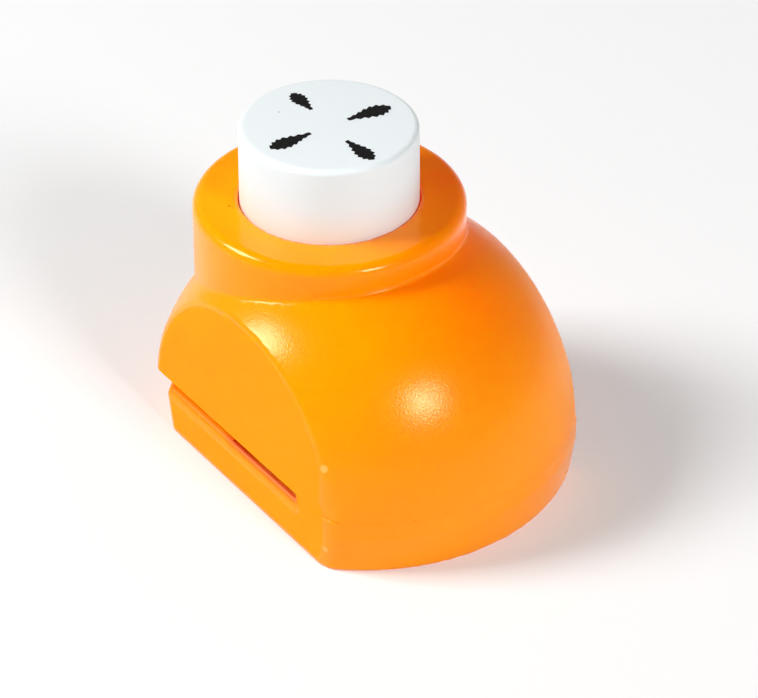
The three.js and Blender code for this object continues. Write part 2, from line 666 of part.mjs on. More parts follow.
place(fixed, "base_shell", baseShell(), orangePlastic);
place(fixed, "upper_shell", upperShell(), orangePlastic);
place(fixed, "die_plate", steelPlate(BASE_FLOOR_Z, DECK_Z), plateSteel);
place(fixed, "throat_spacer", throatSpacer(), plateSteel);
place(fixed, "guide_plate", steelPlate(PARTING_Z, GUIDE_TOP_Z), plateSteel);
place(fixed, "spring_seat", springSeat(), zincSteel);
place(fixed, "return_spring", returnSpring(), springSteel);
[-BLOCK_SCREW_X, BLOCK_SCREW_X].forEach((x, i) => {
  place(fixed, "block_screw_" + (i + 1), blockScrew(x), zincSteel);
});
mirrored(SHELL_SCREW_SPOTS).forEach((spot, i) => {
  place(fixed, "shell_screw_" + (i + 1), shellScrew(spot), zincSteel);
});

place(pressed, "button_cap", buttonCap(), whitePlastic);
place(pressed, "backing_plate", plate(carrierDisc(), BACKING_BOTTOM_Z, BOSS_BOTTOM_Z), plateSteel);
place(pressed, "punch_holder", punchHolder(), plateSteel);
place(pressed, "carrier_screw", carrierScrew(), zincSteel);
for (let i = 0; i < LEAF_COUNT; i += 1) {
  place(pressed, "leaf_punch_" + (i + 1), leafPunch(i), punchSteel);
}

export default punch;
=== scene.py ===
"""A hand punch for paper leaves: moulded orange shells, a white button with printed leaves, steel inside."""

import math

import bpy
import numpy as np
from bpy.props import FloatProperty, FloatVectorProperty, IntProperty, PointerProperty
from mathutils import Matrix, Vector


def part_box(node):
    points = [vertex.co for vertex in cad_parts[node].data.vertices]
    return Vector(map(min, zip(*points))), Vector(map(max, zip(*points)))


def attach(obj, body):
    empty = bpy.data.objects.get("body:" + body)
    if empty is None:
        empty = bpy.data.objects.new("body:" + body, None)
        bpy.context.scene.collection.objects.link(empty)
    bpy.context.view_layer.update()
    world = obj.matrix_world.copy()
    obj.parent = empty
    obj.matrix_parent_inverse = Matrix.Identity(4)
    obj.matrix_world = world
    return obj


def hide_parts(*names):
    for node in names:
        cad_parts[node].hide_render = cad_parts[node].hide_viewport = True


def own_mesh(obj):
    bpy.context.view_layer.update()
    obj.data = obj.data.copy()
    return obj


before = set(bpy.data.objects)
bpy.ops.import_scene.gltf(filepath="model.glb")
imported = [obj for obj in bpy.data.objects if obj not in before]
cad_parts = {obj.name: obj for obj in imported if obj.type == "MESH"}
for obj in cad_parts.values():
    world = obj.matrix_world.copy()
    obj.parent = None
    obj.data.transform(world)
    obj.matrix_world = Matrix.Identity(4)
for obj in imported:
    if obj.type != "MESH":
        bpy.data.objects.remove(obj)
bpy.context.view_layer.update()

bl_info = {
    "name": "Leaf Punch",
    "version": (1, 0, 0),
    "blender": (4, 5, 0),
    "location": "3D View > Sidebar > Leaf Punch",
    "description": "Moulds, finishes and lights a small hand punch for paper leaves",
    "category": "Add Mesh",
}

# One millimetre in Blender's metres. Shapes are worked out in millimetres.
MM = 0.001

# Places that the shells share with the steel parts inside them, in millimetres as all that follows
PARTING_Z = 7.0
AXIS_Y = -6.9
COLLAR_TOP_Z = 30.1
CHAMBER_TOP_Z = 27.1
SLEEVE_BOTTOM_Z = 18.7
GUIDE_TOP_Z = 9.5
SLOT_START_Y = -2.55
SLOT_END_Y = 11.15
DECK_Z = 5.5
MOUTH_Z = 4.75
FLOOR_Z = 2.8
SCREW_SPOTS = ((12.65, 14.44), (6.33, 18.13))
POST_SPOTS = ((12.19, -14.43), (12.19, 0.63))
SCREW_HOLE_RADIUS = 1.4

# The dome: how square it is from above and from the side, and where its rear corners lose their rounding
PLAN_POWER = 3.05
RISE_POWER = 1.64
CORNER_FADE_Y = (4, 10)
CORNER_FADE_Z = (8, 14)

# Inside the upper shell: the button's chamber, the bosses of the screws and the posts over the plates
COLLAR_DRAFT = 0.15
CHAMBER_RADIUS = 12.98
BOSS_RADIUS = 2.6
POST_RADIUS = 1.6
SCREW_HOLE_TOP_Z = 14.2

# The base: how far it draws in at the front and at its foot, and the slope of the ramps (across, up)
FRONT_INSET = 1.3
FOOT_INSET = 0.5
FOOT_Z = 0.8
RAMP_SLOPE = (1.3, 1.1)
CORNER_SHARE = 0.7
OUTLET_RADIUS = 9.2
SCREW_HEAD_RADIUS = 2.5
SCREW_HEAD_TOP_Z = 2.6

# The pocket of the plates, with its half width ahead of the slot's start and beside it, and its rear tongue
POCKET_HALVES = (15.98, 16.22)
POCKET_RADIUS = 20.8
TONGUE_HALF = 8.3
TONGUE_END_Y = 14.9

# The rib on the base that centres the dome
RIB_RADIUS = 22.3
RIB_HALF = 14.95
RIB_START_Y = SLOT_END_Y + 0.3
RIB_WALL = 1.2
RIB_BOTTOM_Z = 6.5
RIB_TOP_Z = 8.4
RIB_GAP_RADIUS = 2.9

# The button: its wall and roof, the stem with the hole for the carrier screw, and the flange
CAP_WALL = 1.6
CAP_ROOF_Z = 37.2
CAP_FILLET = 0.5
STEM_RADIUS = 3.6
STEM_BOTTOM_Z = 20.9
STEM_HOLE_RADIUS = 1.3
STEM_HOLE_TOP_Z = 27.0
FLANGE_RADIUS = 11.88
FLANGE_BOTTOM_Z = 25.2
FLANGE_TOP_Z = 26.8


def part_size(node, axis):
    """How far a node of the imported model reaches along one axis, in metres."""
    low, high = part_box(node)
    return high[axis] - low[axis]


def metres(name, description, default, **options):
    """A setting that is a length in metres."""
    return FloatProperty(name=name, description=description, default=default, unit="LENGTH", **options)


def colour_setting(name, description, default):
    """A setting that is a colour."""
    return FloatVectorProperty(
        name=name, description=description, default=default, subtype="COLOR", min=0, max=1
    )


class ShellSizes(bpy.types.PropertyGroup):
    """Sizes of both orange shells."""

    body_radius: metres(
        "Body radius", "Radius of the round body seen from above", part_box("base_shell")[1][1]
    )
    cheek_width: metres("Cheek width", "Distance between both flat cheeks", part_size("base_shell", 0))
    cheek_lean: FloatProperty(
        name="Cheek lean",
        description="How far the cheeks lean inwards",
        default=math.radians(1.4),
        subtype="ANGLE",
    )
    dome_rise: metres("Dome rise", "Height of the dome above the parting line", 20.1 * MM)
    wall: metres("Wall", "Thickness of the moulded wall", 1.8 * MM)
    arch_round: metres("Arch round", "Rounding between cheek and dome", 0.35 * MM)
    corner_round: metres("Corner round", "Rounding of the dome's rear corners", 1.3 * MM)
    collar_radius: metres("Collar radius", "Outer radius of the collar", 15.28 * MM)
    collar_round: metres("Collar round", "Rounding of the collar's top edge", 1.2 * MM)
    bore_radius: metres("Bore radius", "Radius of the collar's bore round the button", 10.2 * MM)
    collar_fillet: metres("Collar fillet", "Hollow fillet where the collar meets the dome", 0.25 * MM)
    lip_round: metres("Lip round", "Rounding of the paper slot's lower lip", 0.45 * MM)
    upper_step: metres("Upper step", "Size of one face of the upper shell", 0.42 * MM)
    base_step: metres("Base step", "Size of one face of the base", 0.36 * MM)


class ButtonSizes(bpy.types.PropertyGroup):
    """Sizes of the button and of the leaves printed on it."""

    radius: metres("Radius", "Radius of the button", 9.98 * MM)
    top: metres("Top", "Height of the button's top over the table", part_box("button_cap")[1][2])
    edge_round: metres("Edge round", "Rounding of the button's top edge", 0.7 * MM)
    segments: IntProperty(name="Segments", description="Faces round the button", default=160, min=24)
    ink: metres("Ink", "How far the print stands on the button", 0.02 * MM)


class SpringSizes(bpy.types.PropertyGroup):
    """Sizes of the spring that lifts the button."""

    coil_radius: metres("Coil radius", "Radius of the wire's middle line", 10.98 * MM)
    wire: metres("Wire", "Thickness of the wire", 1.4 * MM)
    turns: FloatProperty(name="Turns", description="Number of turns", default=4.5)


class Finishes(bpy.types.PropertyGroup):
    """Colours and surface of each material."""

    orange: colour_setting("Orange", "Colour of the moulded shells", (1.0, 0.38, 0.0))
    deep_orange: colour_setting("Deep orange", "Colour of the shells' thicker places", (1.0, 0.335, 0.0))
    # Painted shade: a redder orange painted deep in the paper slot, where shade falls
    painted_slot_shade: colour_setting("Inner orange", "Redder orange deep in the paper slot", (0.75, 0.06, 0.0))
    # Painted glow: red light that the shells give off though they are no lamp, which lifts the red in their
    # shade
    painted_red_glow: colour_setting("Dye glow", "Red light that the bright dye gives back", (0.18, 0.0, 0.0))
    white: colour_setting("White", "Colour of the button", (0.88, 0.94, 0.955))
    ink: colour_setting("Ink", "Colour of the printed leaves", (0.006, 0.005, 0.005))
    steel: colour_setting("Steel", "Colour of the stamped plates", (0.56, 0.57, 0.58))
    zinc: colour_setting("Zinc", "Colour of the plated screws", (0.68, 0.7, 0.72))
    glossy_ior: FloatProperty(
        name="Glossy index", description="Refraction index of dome and collar", default=1.4
    )
    plain_ior: FloatProperty(
        name="Plain index", description="Refraction index of the flat cheeks", default=1.09
    )
    grain: metres("Grain", "Height of the dome's moulded grain", 0.021 * MM, precision=6)


class StageSettings(bpy.types.PropertyGroup):
    """Camera, lamps and the light all round."""

    lens: FloatProperty(name="Lens", description="Focal length in millimetres", default=150.4)
    left_lamp: FloatProperty(
        name="Left lamp", description="Power of the lamp on the slot's side in watts", default=9.6
    )
    right_lamp: FloatProperty(
        name="Right lamp", description="Power of the lamp behind the dome in watts", default=5.6
    )
    walls: FloatProperty(name="Walls", description="Light from low down all round", default=0.42)
    ceiling: FloatProperty(name="Ceiling", description="Light from straight above", default=0.02)


# Shapes as distances: below zero inside, above zero outside, all in millimetres


def shared(a, b, radius):
    """What both shapes hold, with the edge between them rounded."""
    over_a = np.maximum(radius + a, 0)
    over_b = np.maximum(radius + b, 0)
    return np.minimum(-radius, np.maximum(a, b)) + np.hypot(over_a, over_b)


def joined(a, b, radius):
    """What either shape holds, with a hollow fillet between them."""
    return -shared(-a, -b, radius)


def without(a, b, radius):
    """The first shape with the second one cut out."""
    return shared(a, -b, radius)


def eased(start, end, value):
    """Runs smoothly from 0 at start to 1 at end."""
    share = np.clip((value - start) / (end - start), 0, 1)
    return share * share * (3 - 2 * share)


def peg(x, y, spot, radius):
    """Upright round peg or hole, and its mirror image."""
    return np.hypot(np.abs(x) - spot[0], y - spot[1]) - radius


def dome(x, y, z, radius, rise):
    """The round dome, or the hollow in it."""
    out = np.hypot(x, y) / radius
    up = np.maximum(z - PARTING_Z, 0) / rise
    level = out**PLAN_POWER + up**RISE_POWER - 1
    plan_slope = PLAN_POWER * out ** (PLAN_POWER - 1) / radius
    slope = np.hypot(plan_slope, RISE_POWER * up ** (RISE_POWER - 1) / rise)
    return level / np.maximum(slope, 0.02)


def upper_shell_shape(sizes):
    """The dome with its cheeks and collar, hollow inside."""
    radius, rise, wall = sizes.body_radius / MM, sizes.dome_rise / MM, sizes.wall / MM
    cheek_x, lean = sizes.cheek_width / 2 / MM, math.tan(sizes.cheek_lean)
    arch_round, corner_round = sizes.arch_round / MM, sizes.corner_round / MM
    collar_radius, bore_radius = sizes.collar_radius / MM, sizes.bore_radius / MM
    collar_round, collar_fillet = sizes.collar_round / MM, sizes.collar_fillet / MM

    def shape(x, y, z):
        cheek = (np.abs(x) - cheek_x + lean * (z - PARTING_Z)) * math.cos(sizes.cheek_lean)
        low_rear = (1 - eased(*CORNER_FADE_Z, z)) * eased(*CORNER_FADE_Y, y)
        edge_round = arch_round + (corner_round - arch_round) * low_rear
        body = shared(dome(x, y, z, radius, rise), cheek, edge_round)
        out = np.hypot(x, y - AXIS_Y)
        draft = COLLAR_DRAFT * (COLLAR_TOP_Z - z) / (COLLAR_TOP_Z - PARTING_Z)
        collar_side = out - collar_radius - draft
        collar = shared(collar_side, z - COLLAR_TOP_Z, collar_round)
        outside = joined(body, collar, collar_fillet)
        hollow = np.maximum(dome(x, y, z, radius - wall, rise - wall), cheek + wall)
        inside = np.maximum(collar_side, SLEEVE_BOTTOM_Z - z)
        for spot in SCREW_SPOTS:
            inside = np.minimum(inside, peg(x, y, spot, BOSS_RADIUS))
        for spot in POST_SPOTS:
            post = np.maximum(peg(x, y, spot, POST_RADIUS), GUIDE_TOP_Z - z)
            inside = np.minimum(inside, post)
        shell = np.maximum(outside, np.minimum(-hollow, inside))
        shell = np.maximum(shell, -np.maximum(out - CHAMBER_RADIUS, z - CHAMBER_TOP_Z))
        shell = without(shell, out - bore_radius, radius=0.3)
        for spot in SCREW_SPOTS:
            hole = np.maximum(peg(x, y, spot, SCREW_HOLE_RADIUS), z - SCREW_HOLE_TOP_Z)
            shell = np.maximum(shell, -hole)
        return shared(shell, PARTING_Z - z, radius=0.05)

    return shape


def plate_pocket(x, y, z):
    """The pocket that holds the steel plates."""
    side = np.abs(x) - np.where(y < SLOT_START_Y, *POCKET_HALVES)
    front = np.maximum(np.maximum(side, y - SLOT_END_Y), np.hypot(x, y) - POCKET_RADIUS)
    tongue = np.maximum(np.maximum(np.abs(x) - TONGUE_HALF, y - TONGUE_END_Y), -y)
    return np.maximum(np.minimum(front, tongue), FLOOR_Z - z)


def locating_rib(x, y, z):
    """The low rib that centres the dome on the base."""
    out = np.hypot(x, y)

    def plan(inset):
        sides = np.maximum(out - (RIB_RADIUS - inset), np.abs(x) - (RIB_HALF - inset))
        return np.maximum(sides, RIB_START_Y + inset - y)

    rib = shared(np.maximum(plan(0), -plan(RIB_WALL)), z - RIB_TOP_Z, radius=0.2)
    for spot in SCREW_SPOTS:
        rib = np.maximum(rib, -peg(x, y, spot, RIB_GAP_RADIUS))
    return np.maximum(rib, RIB_BOTTOM_Z - z)


def base_shell_shape(sizes):
    """The low base with the ramps of the paper slot."""
    radius, cheek_x = sizes.body_radius / MM, sizes.cheek_width / 2 / MM
    lip_round, corner_round = sizes.lip_round / MM, CORNER_SHARE * sizes.corner_round / MM
    ramp_across, ramp_up = RAMP_SLOPE

    def shape(x, y, z):
        out = np.hypot(x, y)
        taper = FOOT_INSET * np.clip((MOUTH_Z - z) / (MOUTH_Z - FOOT_Z), 0, 1.2)
        cheek = np.abs(x) - cheek_x
        beyond = out - (radius - FRONT_INSET)
        low_plan = shared(beyond + taper, cheek, radius=0.5)
        rise = ramp_up * (z - MOUTH_Z)
        ramp = np.maximum(ramp_across * beyond + rise, ramp_across * cheek + rise)
        ramp = ramp / math.hypot(ramp_across, ramp_up)
        front = shared(low_plan, shared(ramp, z - DECK_Z, radius=0.3), lip_round)
        rear = shared(out - radius + taper, cheek, corner_round)
        rear = shared(rear, z - PARTING_Z, radius=0.05)
        base = np.minimum(front, shared(rear, SLOT_END_Y - y, radius=0.1))
        base = np.minimum(shared(base, -z, radius=0.5), locating_rib(x, y, z))
        base = np.maximum(base, -plate_pocket(x, y, z))
        base = without(base, np.hypot(x, y - AXIS_Y) - OUTLET_RADIUS, radius=0.2)
        for spot in SCREW_SPOTS:
            head = np.maximum(peg(x, y, spot, SCREW_HEAD_RADIUS), z - SCREW_HEAD_TOP_Z)
            base = np.maximum(base, -np.minimum(peg(x, y, spot, SCREW_HOLE_RADIUS), head))
        return base

    return shape


# Meshes from shapes

TETRAHEDRON = np.array([(1, -1, -1), (-1, -1, 1), (-1, 1, -1), (1, 1, 1)], float)
# How often a crossing's place is made more exact
SEARCH_ROUNDS = 5
# A direction that pulls less than this share of the strongest one is taken as flat
FLAT_SHARE = 0.08
# How far from its corner a face's own direction is read, as a share of the way to its middle
READ_INWARDS = 0.3
# Where that direction and the surface's at the corner differ by more than this, the edge is a crease
CREASE_ANGLE = math.radians(25)


def outward(shape, points, reach=0.02):
    """The direction straight out of the surface at each point."""
    total = np.zeros_like(points)
    for corner in TETRAHEDRON:
        total += shape(*(points + reach * corner).T)[:, None] * corner
    return total / np.maximum(np.linalg.norm(total, axis=1, keepdims=True), 1e-9)


def crossings(shape, values, axis, low, step):
    """Where the surface crosses the grid's lines along one axis, and the four cells round each line."""
    near = [slice(None)] * 3
    far = [slice(None)] * 3
    near[axis], far[axis] = slice(None, -1), slice(1, None)
    start = np.argwhere((values[tuple(near)] < 0) != (values[tuple(far)] < 0))
    end = start.copy()
    end[:, axis] += 1
    near_value, far_value = values[tuple(start.T)], values[tuple(end.T)]
    begins_inside = near_value < 0
    near_share, far_share = np.zeros(len(start)), np.ones(len(start))
    for _ in range(SEARCH_ROUNDS):
        share = near_share + (far_share - near_share) * near_value / (near_value - far_value)
        points = low + step * start
        points[:, axis] += step * share
        value = shape(*points.T)
        same = (value < 0) == begins_inside
        near_share, near_value = np.where(same, share, near_share), np.where(same, value, near_value)
        far_share, far_value = np.where(same, far_share, share), np.where(same, far_value, value)
        near_value = np.where(near_value == far_value, near_value + 1e-12, near_value)
    second, third = (axis + 1) % 3, (axis + 2) % 3
    ring = []
    for back_second, back_third in ((1, 1), (0, 1), (0, 0), (1, 0)):
        cell = start.copy()
        cell[:, second] -= back_second
        cell[:, third] -= back_third
        ring.append(np.ravel_multi_index(cell.T, np.array(values.shape) - 1))
    ring = np.stack(ring, axis=1)
    ring[~begins_inside] = ring[~begins_inside][:, ::-1]
    return points, ring


def skin(shape, low, high, step):
    """Vertices and four-sided faces of the surface, with its edges and corners kept."""
    low, high = np.array(low, float), np.array(high, float)
    counts = np.ceil((high - low) / step).astype(int) + 1
    lines = [low[i] + step * np.arange(counts[i]) for i in range(3)]
    values = shape(*np.meshgrid(*lines, indexing="ij"))
    found = [crossings(shape, values, axis, low, step) for axis in range(3)]
    points = np.concatenate([item[0] for item in found])
    rings = np.concatenate([item[1] for item in found])
    cells, faces = np.unique(rings, return_inverse=True)
    faces = faces.reshape(rings.shape)
    flat = faces.ravel()

    def gathered(amounts):
        return np.bincount(flat, weights=np.repeat(amounts, 4), minlength=len(cells))

    number = gathered(np.ones(len(points)))
    middle = np.stack([gathered(points[:, i]) / number for i in range(3)], axis=1)
    normals = outward(shape, points)
    away = np.einsum("ijk,ik->ij", points[:, None, :] - middle[faces], normals)
    matrix = np.empty((len(cells), 3, 3))
    pull = np.empty((len(cells), 3))
    for i in range(3):
        for j in range(3):
            matrix[:, i, j] = gathered(normals[:, i] * normals[:, j])
        weights = (away * normals[:, i][:, None]).ravel()
        pull[:, i] = np.bincount(flat, weights=weights, minlength=len(cells))
    strength, directions = np.linalg.eigh(matrix)
    kept = strength > FLAT_SHARE * strength[:, -1:]
    inverse = np.where(kept, 1 / np.where(kept, strength, 1), 0)
    turned_pull = np.einsum("nji,nj->ni", directions, pull)
    vertices = middle + np.einsum("nij,nj->ni", directions, inverse * turned_pull)
    corner = low + step * np.stack(np.unravel_index(cells, counts - 1), axis=1)
    return np.clip(vertices, corner, corner + step), faces


def placed(name, data):
    """A new object in the scene that holds a mesh, a camera or a lamp."""
    piece = bpy.data.objects.new(name, data)
    bpy.context.scene.collection.objects.link(piece)
    return piece


def moulded(name, shape, low, high, step):
    """An object whose mesh follows a shape, shaded by the shape's own directions."""
    vertices, faces = skin(shape, low, high, step)
    mesh = bpy.data.meshes.new(name)
    mesh.from_pydata((vertices * MM).tolist(), [], faces.tolist())
    mesh.polygons.foreach_set("use_smooth", np.ones(len(faces), bool))
    corners = vertices[faces]
    inwards = corners + READ_INWARDS * (corners.mean(axis=1, keepdims=True) - corners)
    side = outward(shape, inwards.reshape(-1, 3))
    smooth = outward(shape, vertices)[faces.ravel()]
    alike = np.sum(side * smooth, axis=1) > math.cos(CREASE_ANGLE)
    mesh.normals_split_custom_set(np.where(alike[:, None], smooth, side).tolist())
    return placed(name, mesh), vertices


def mark(piece, name, amounts):
    """Stores one number for each vertex, for a material to read."""
    attribute = piece.data.attributes.new(name, "FLOAT", "POINT")
    attribute.data.foreach_set("value", np.asarray(amounts, np.float32))


def lathed(name, profile, segments, axis_y):
    """A closed turned piece from points given as radius and height, with one vertex at each end."""
    angles = np.arange(segments) * 2 * math.pi / segments
    vertices = [(0, axis_y, profile[0][1])]
    for radius, height in profile[1:-1]:
        vertices += [(radius * math.cos(a), axis_y + radius * math.sin(a), height) for a in angles]
    vertices.append((0, axis_y, profile[-1][1]))
    rings = len(profile) - 2
    last = len(vertices) - 1
    faces = []
    for i in range(segments):
        j = (i + 1) % segments
        faces.append((0, 1 + i, 1 + j))
        for k in range(rings - 1):
            a = 1 + k * segments
            faces.append((a + i, a + segments + i, a + segments + j, a + j))
        a = 1 + (rings - 1) * segments
        faces.append((a + j, a + i, last))
    mesh = bpy.data.meshes.new(name)
    mesh.from_pydata([tuple(value * MM for value in vertex) for vertex in vertices], [], faces)
    mesh.shade_smooth()
    mesh.set_sharp_from_angle(angle=math.radians(30))
    return placed(name, mesh)


# Materials


class Amount:
    """A number in a material. Sums and products of amounts add the Math nodes for them."""

    def __init__(self, finish, socket):
        self.finish = finish
        self.socket = socket

    def worked(self, operation, *parts):
        return self.finish.node("ShaderNodeMath", {"operation": operation}, dict(enumerate(parts)))

    def __add__(self, other):
        return self.worked("ADD", self, other)

    def __radd__(self, other):
        return self.worked("ADD", other, self)

    def __sub__(self, other):
        return self.worked("SUBTRACT", self, other)

    def __rsub__(self, other):
        return self.worked("SUBTRACT", other, self)

    def __mul__(self, other):
        return self.worked("MULTIPLY", self, other)

    def __rmul__(self, other):
        return self.worked("MULTIPLY", other, self)

    def output(self, name):
        """Another output of the same node."""
        return Amount(self.finish, self.socket.node.outputs[name])


class Finish:
    """A material under construction, or the world's light."""

    def __init__(self, name, kept_in=bpy.data.materials):
        self.material = kept_in.new(name)
        self.material.use_nodes = True
        self.tree = self.material.node_tree
        self.tree.nodes.clear()

    def node(self, kind, settings=None, values=None, output=0):
        """Adds a node: its settings first, then a value or a link for each socket."""
        made = self.tree.nodes.new(kind)
        for name, value in (settings or {}).items():
            if name == "stops":
                self.set_stops(made.color_ramp, value)
            else:
                setattr(made, name, value)
        for name, value in (values or {}).items():
            socket = made.inputs[name]
            if isinstance(value, Amount):
                self.tree.links.new(value.socket, socket)
            else:
                socket.default_value = value
        return Amount(self, made.outputs[output])

    def set_stops(self, ramp, stops):
        """Gives a ramp its stops, as place and grey level."""
        while len(ramp.elements) < len(stops):
            ramp.elements.new(0.5)
        for element, (place, level) in zip(ramp.elements, stops):
            element.position = place
            element.color = (level, level, level, 1)

    def places(self):
        """Where a point lies on the piece, in metres."""
        return self.node("ShaderNodeTexCoord", output="Object")

    def stretched(self, places, scale):
        """Places stretched, for a pattern with a direction."""
        return self.node("ShaderNodeMapping", values={"Vector": places, "Scale": scale})

    def noise(self, places, scale, detail, roughness=0.5):
        """Soft random pattern from 0 to 1, with so many cells to the metre."""
        values = {"Vector": places, "Scale": scale, "Detail": detail, "Roughness": roughness}
        return self.node("ShaderNodeTexNoise", values=values, output="Fac")

    def ramp(self, amount, *stops):
        """An amount sent through a ramp of grey levels."""
        return self.node("ShaderNodeValToRGB", {"stops": stops}, {"Fac": amount})

    def blended(self, share, first, second):
        """The first colour where the share is 0, the second where it is 1."""
        values = {"Factor": share, 6: first, 7: second}
        return self.node("ShaderNodeMix", {"data_type": "RGBA"}, values, output=2)

    def spot(self, places, middle, radius, edge):
        """1 within a round spot, 0 outside it, with a soft edge as wide as a share of the radius."""
        centre = tuple(value * MM for value in middle)
        between = {0: places, 1: centre}
        far = self.node("ShaderNodeVectorMath", {"operation": "DISTANCE"}, between, output="Value")
        values = {0: far, 1: -1 / (edge * radius * MM), 2: 1 / edge + 0.5}
        return self.node("ShaderNodeMath", {"operation": "MULTIPLY_ADD", "use_clamp": True}, values)

    def marked(self, colour, places, marks):
        """A colour with spots of other colours on it."""
        for middle, radius, edge, tint in marks:
            colour = self.blended(self.spot(places, middle, radius, edge), colour, tint)
        return colour

    def bump(self, height, strength, distance):
        """Bends the surface's light by a height."""
        values = {"Height": height, "Strength": strength, "Distance": distance}
        return self.node("ShaderNodeBump", values=values)

    def done(self, values):
        """Ends the material in one shader with these values."""
        self.show(self.node("ShaderNodeBsdfPrincipled", values=values, output="BSDF"))
        return self.material

    def show(self, shader, kind="ShaderNodeOutputMaterial"):
        """Sends a shader to the material's or the world's output."""
        output = self.tree.nodes.new(kind)
        self.tree.links.new(shader.socket, output.inputs["Surface"])


def opaque(colour):
    """A colour as a colour socket takes it."""
    return (*colour, 1.0)


def orange_plastic(name, look, marks, ior):
    """Bright orange plastic: grained where the mould is grained, smooth on collar and cheeks, with painted
    shade deep in the paper slot and a painted red glow elsewhere.
    """
    finish = Finish(name)
    places = finish.places()
    grain = finish.node("ShaderNodeAttribute", {"attribute_name": "grain"}, output="Fac")
    clouds = finish.noise(places, scale=60, detail=1)
    colour = finish.blended(clouds, opaque(look.orange), opaque(look.deep_orange))
    colour = finish.marked(colour, places, marks)
    # Painted shade: the inner attribute marks the deep paper slot, which takes the redder painted shade and
    # loses the painted glow
    inner = finish.node("ShaderNodeAttribute", {"attribute_name": "inner"}, output="Fac")
    colour = finish.blended(inner, colour, opaque(look.painted_slot_shade))
    pebbles = finish.noise(places, scale=4300, detail=1)
    scuffs = finish.ramp(finish.noise(places, scale=700, detail=3), (0.5, 0), (0.75, 1))
    roughness = 0.16 + 0.06 * grain + 0.3 * inner + 0.05 * scuffs
    normal = finish.bump(pebbles * grain, strength=1.0, distance=look.grain)
    return finish.done(
        {
            "Base Color": colour,
            "Roughness": roughness,
            "Normal": normal,
            "IOR": ior,
            "Specular Tint": (1.0, 0.9, 0.55, 1),
            "Subsurface Weight": 0.4,
            "Subsurface Radius": (1.0, 0.15, 0.02),
            "Subsurface Scale": 0.004,
            # Painted glow: the shells give off red light everywhere but deep in the slot
            "Emission Color": finish.blended(inner, opaque(look.painted_red_glow), (0, 0, 0, 1)),
            "Emission Strength": 1.0,
        }
    )


def white_plastic(look, marks):
    """Satin white plastic with a faint moulded texture."""
    finish = Finish("white_plastic")
    places = finish.places()
    clouds = finish.noise(places, scale=180, detail=2)
    shade = tuple(value * 0.985 for value in look.white)
    colour = finish.blended(clouds, opaque(look.white), opaque(shade))
    colour = finish.marked(colour, places, marks)
    roughness = 0.36 + 0.1 * finish.noise(places, scale=700, detail=3)
    texture = finish.noise(places, scale=2600, detail=2)
    normal = finish.bump(texture, strength=0.5, distance=0.006 * MM)
    return finish.done(
        {
            "Base Color": colour,
            "Roughness": roughness,
            "Normal": normal,
            "IOR": 1.48,
            "Subsurface Weight": 0.2,
            "Subsurface Radius": (1.0, 0.9, 0.8),
            "Subsurface Scale": 0.001,
        }
    )


def printed_ink(look):
    """Black printing ink, a little uneven."""
    finish = Finish("printed_ink")
    places = finish.places()
    thin = tuple(value + 0.008 for value in look.ink)
    worn = finish.ramp(finish.noise(places, scale=2500, detail=3), (0.4, 0), (0.8, 1))
    colour = finish.blended(worn, opaque(look.ink), opaque(thin))
    texture = finish.noise(places, scale=5000, detail=2)
    normal = finish.bump(texture, strength=0.4, distance=0.004 * MM)
    roughness = 0.55 + 0.15 * finish.noise(places, scale=900, detail=2)
    values = {"Base Color": colour, "Roughness": roughness, "Normal": normal, "IOR": 1.3}
    return finish.done(values)


def metal(name, colour, roughness, scale, stretch, height):
    """Bare metal with fine lines or specks left by how it was worked."""
    finish = Finish(name)
    places = finish.places()
    lines = finish.noise(finish.stretched(places, stretch), scale, detail=3, roughness=0.6)
    stains = finish.noise(places, scale=160, detail=3)
    dull = tuple(value * 0.82 for value in colour)
    stained = finish.ramp(stains, (0.4, 0), (0.75, 1))
    tint = finish.blended(stained, opaque(colour), opaque(dull))
    return finish.done(
        {
            "Base Color": tint,
            "Metallic": 1.0,
            "Roughness": roughness + 0.14 * lines + 0.08 * stains,
            "Normal": finish.bump(lines, strength=0.6, distance=height),
        }
    )


def paper_floor():
    """White floor that keeps the shadow and shows as white where light falls on it."""
    finish = Finish("white_floor")
    places = finish.places()
    fibres = finish.noise(places, scale=900, detail=3)
    colour = finish.blended(fibres, (0.77, 0.77, 0.77, 1), (0.75, 0.75, 0.75, 1))
    plain = finish.node("ShaderNodeBsdfDiffuse", values={"Color": colour}, output="BSDF")
    light = {"Color": (1, 1, 1, 1), "Strength": 0.21}
    glow = finish.node("ShaderNodeEmission", values=light, output="Emission")
    both = finish.node("ShaderNodeAddShader", values={0: plain, 1: glow}, output="Shader")
    path = finish.node("ShaderNodeLightPath", output="Is Camera Ray")
    seen = path.worked("MAXIMUM", path, path.output("Is Glossy Ray"))
    seen = seen.worked("MAXIMUM", seen, path.output("Is Transmission Ray"))
    either = {0: seen, 1: plain, 2: both}
    finish.show(finish.node("ShaderNodeMixShader", values=either, output="Shader"))
    return finish.material


def light_tent(settings):
    """Soft light that is stronger from low down than from above, with white behind the object."""
    finish = Finish("light_tent", bpy.data.worlds)
    direction = finish.node("ShaderNodeTexCoord", output="Generated")
    rise = finish.node("ShaderNodeSeparateXYZ", values={0: direction}, output="Z")
    low = 1.0 - rise.worked("MAXIMUM", rise, 0.0)
    strength = settings.ceiling + (settings.walls - settings.ceiling) * (low * low)
    seen = finish.node("ShaderNodeLightPath", output="Is Camera Ray")
    strength = strength.worked("MAXIMUM", strength, seen)
    values = {"Color": (1, 1, 1, 1), "Strength": strength}
    light = finish.node("ShaderNodeBackground", values=values, output="Background")
    finish.show(light, "ShaderNodeOutputWorld")
    return finish.material


# What every piece needs at the end


def finished(piece, material, body, slot, *nodes):
    """Gives a piece its material and the body that it moves with, and hides the nodes that it stands for;
    the slot is not used.
    """
    if material is not None:
        piece.data.materials.clear()
        piece.data.materials.append(material)
    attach(piece, body)
    if nodes:
        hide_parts(*nodes)
    return piece
